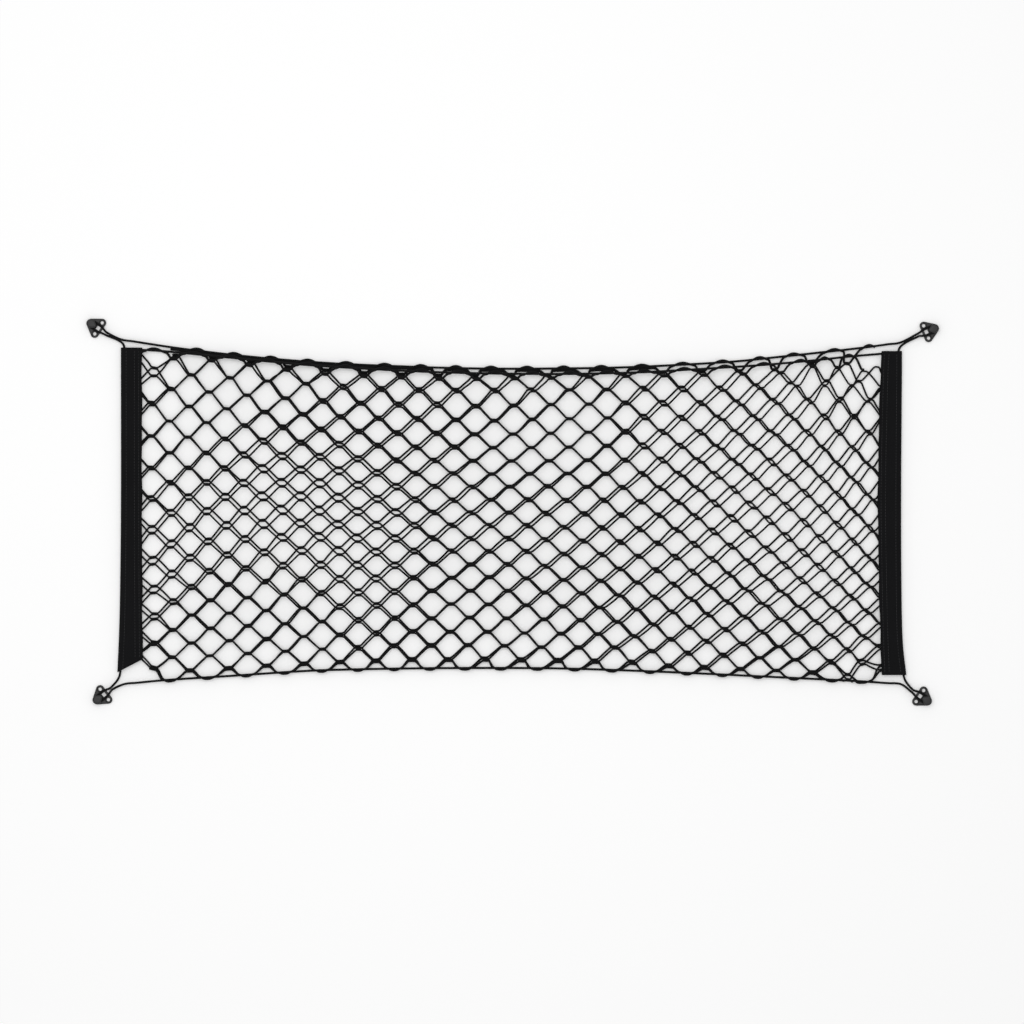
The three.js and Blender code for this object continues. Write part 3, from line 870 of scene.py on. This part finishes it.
def round_hook(name):
    """In by one leg, round the hook's post and out by the other."""
    x, y, angle = hooks[name]
    turn = math.radians(angle)
    leg = [(-13, 1.5), (-7.5, 2.4), (-2, loop_radius)]
    bend = [
        (post_reach + loop_radius * math.cos(a), loop_radius * math.sin(a))
        for a in np.radians([-90, -60, -30, 0, 30, 60, 90])
    ]
    way = [(out, -aside) for out, aside in leg] + bend + leg[::-1]
    return [
        (x + out * math.cos(turn) - aside * math.sin(turn),
         y + out * math.sin(turn) + aside * math.cos(turn), loop_height)
        for out, aside in way
    ]


left_way, right_way = through_band(left_band), through_band(right_band)
middle = len(left_way) // 2
border_points = [
    *left_way[:middle][::-1],
    *round_hook("hook_bottom_left"),
    *across_net(foot_rows, foot_line),
    *round_hook("hook_bottom_right"),
    *right_way,
    *round_hook("hook_top_right"),
    *across_net(top_rows, top_line)[::-1],
    *round_hook("hook_top_left"),
    *left_way[middle:][::-1],
]
elastic_finish = strand_finish(
    "braided elastic", (0.0068, 0.0068, 0.0072), 9 * mm, 8, 0.2 * mm,
    Specular_IOR_Level=0.12, Sheen_Weight=0.01, Sheen_Roughness=0.5,
)
elastic = cord_tree()
cord_sizes = {"Step": 1.8 * mm, "Cord radius": cord * mm, "Finish": elastic_finish}
border = grown("border_cord", route_base("border_route", border_points), elastic, cord_sizes)
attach(border, "root")
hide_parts("cord_border")

# The mouth cord lies with the front layer, and comes down into the bands' folds.
mouth_points = []
for x in np.linspace(mouth_rows[0][0], mouth_rows[-1][0], 60):
    y = float(mouth_line(x))
    to_band = min(x - left_inner(y), right_inner(y) - x) - band_margin
    on_net = twine + band_climb * (1 - eased(to_band, climb_run)) + front_gap
    on_net += pocket_rise * eased(to_band, rise_run)
    z = fold_height + (on_net - fold_height) * eased(to_band, dip_run)
    mouth_points.append((x, y, float(z)))
mouth = grown("mouth_cord", route_base("mouth_route", mouth_points), elastic, cord_sizes)
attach(mouth, "root")
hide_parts("cord_mouth")


# ---- The hooks -----------------------------------------------------------------------------
# Injection-moulded black nylon: a flat plate with two countersunk screw holes and a core
# window, and a post with a domed lip that keeps the cord's loop on.

def outline_round(corners, sides, inset):
    """The outline pulled tight round a set of corner circles (out, across, radius)."""
    points = []
    for k in range(sides):
        a = k * 2 * math.pi / sides
        out, aside, radius = max(
            corners, key=lambda c: c[0] * math.cos(a) + c[1] * math.sin(a) + c[2]
        )
        reach = radius - inset
        points.append((out + reach * math.cos(a), aside + reach * math.sin(a)))
    return points


def stacked(name, corners, levels, sides=96):
    """A closed body from outlines at several levels, each (inset, height). Millimetres."""
    shape = bmesh.new()
    rings = [
        [shape.verts.new((x, y, z)) for x, y in outline_round(corners, sides, inset)]
        for inset, z in levels
    ]
    for low, high in zip(rings, rings[1:]):
        for k in range(sides):
            after = (k + 1) % sides
            shape.faces.new((low[k], low[after], high[after], high[k]))
    shape.faces.new(rings[0][::-1])
    shape.faces.new(rings[-1])
    mesh = bpy.data.meshes.new(name)
    bmesh.ops.remove_doubles(shape, verts=shape.verts, dist=1e-5)
    bmesh.ops.recalc_face_normals(shape, faces=shape.faces)
    shape.to_mesh(mesh)
    shape.free()
    return put(name, mesh)


def carved(body, others, operation):
    """Adds or takes away bodies, and leaves a plain mesh without slivers."""
    for other in others:
        modifier = body.modifiers.new("carve", "BOOLEAN")
        modifier.operation = operation
        modifier.solver = "EXACT"
        modifier.object = other
    depsgraph = bpy.context.evaluated_depsgraph_get()
    mesh = bpy.data.meshes.new_from_object(body.evaluated_get(depsgraph))
    body.modifiers.clear()
    shape = bmesh.new()
    shape.from_mesh(mesh)
    bmesh.ops.dissolve_degenerate(shape, edges=shape.edges, dist=1e-4)
    shape.to_mesh(mesh)
    shape.free()
    body.data = mesh
    for other in others:
        bpy.data.objects.remove(other)
    return body


# Places are out along a hook and aside from its middle line.
plate = 2.5
hole_out, hole_aside, hole_radius = -0.8, 7.7, 2
post_out, post_radius = 4.6, 2.2
tip_out, lip_out = 8.6, 8.8


def moulded_hook(name):
    """One hook at the origin, pointing along +X, in millimetres."""
    corners = [(tip_out, 0, 5.8), (hole_out, hole_aside, 4.6), (hole_out, -hole_aside, 4.6)]
    body = stacked(name, corners, [
        (0.5, 0), (0.15, 0.15), (0, 0.5), (0, plate - 0.6), (0.2, plate - 0.2), (0.6, plate),
    ])
    bosses = [
        stacked("boss", [(hole_out, side * hole_aside, 3.7)], [
            (0, plate - 1), (0, plate + 0.35), (0.15, plate + 0.5), (0.4, plate + 0.55),
        ], 48)
        for side in (-1, 1)
    ]
    under_lip = loop_height + cord + 0.3
    post = stacked("post", [(post_out, 0, post_radius), (post_reach, 0, post_radius)], [
        (-0.6, plate - 1), (-0.6, plate), (-0.1, plate + 0.5), (0, plate + 1),
        (0, under_lip - 0.5), (-0.4, under_lip + 0.6),
    ], 64)
    lip = stacked("lip", [(post_out, 0, 2.8), (lip_out, 0, 5.2)], [
        (0.5, under_lip), (0.1, under_lip + 0.25), (0, under_lip + 0.7),
        (0.25, under_lip + 1.3), (0.8, under_lip + 1.7), (1.7, under_lip + 2),
        (2.6, under_lip + 2.1),
    ])
    carved(body, [*bosses, post, lip], "UNION")
    cutters = [
        stacked("screw hole", [(hole_out, side * hole_aside, hole_radius)], [
            (0, -1), (0, plate - 0.9), (-1.1, plate + 0.6), (-1.1, plate + 3),
        ], 48)
        for side in (-1, 1)
    ]
    window_out, window_half, corner = -0.6, 2.2, 0.5
    to_corner = window_half - corner
    window = stacked("window", [
        (window_out + sx * to_corner, sy * to_corner, corner) for sx in (-1, 1) for sy in (-1, 1)
    ], [(0, -1), (0, plate - 0.4), (-0.4, plate + 0.1), (-0.4, plate + 1)], 48)
    return carved(body, [*cutters, window], "DIFFERENCE")


def moulded_finish():
    """Fine moulded grain, and faint patches where rubbing has left it paler and duller."""
    material, tree, shader = plain_finish("moulded nylon", Specular_IOR_Level=0.3)
    rub = speckle(tree, 160.0, 3.0)
    tint = [part + 0.006 * rub for part in (0.009, 0.009, 0.0095)]
    feed(tree, shader, tint, 0.28 + 0.2 * rub, speckle(tree, 3200.0), 0.06 * mm, 0.35)
    return material


nylon = moulded_finish()
pattern_hook = moulded_hook("hook_pattern")
for node, (x, y, angle) in hooks.items():
    mesh = pattern_hook.data.copy()
    turn = math.radians(angle)
    turned = np.array([
        [math.cos(turn), -math.sin(turn), 0],
        [math.sin(turn), math.cos(turn), 0],
        [0, 0, 1],
    ])
    points = np.array([vertex.co for vertex in mesh.vertices])
    points = (points @ turned.T + (x, y, 0)) * mm
    mesh.vertices.foreach_set("co", points.astype(np.float32).ravel())
    mesh.update()
    mesh.name = node.replace("hook", "anchor")
    mesh.materials.clear()
    mesh.materials.append(nylon)
    mesh.polygons.foreach_set("use_smooth", [True] * len(mesh.polygons))
    mesh.set_sharp_from_angle(angle=math.radians(38))
    hook = put(mesh.name, mesh)
    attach(hook, "root")
    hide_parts(node)
bpy.data.objects.remove(pattern_hook)


bpy.context.view_layer.update()
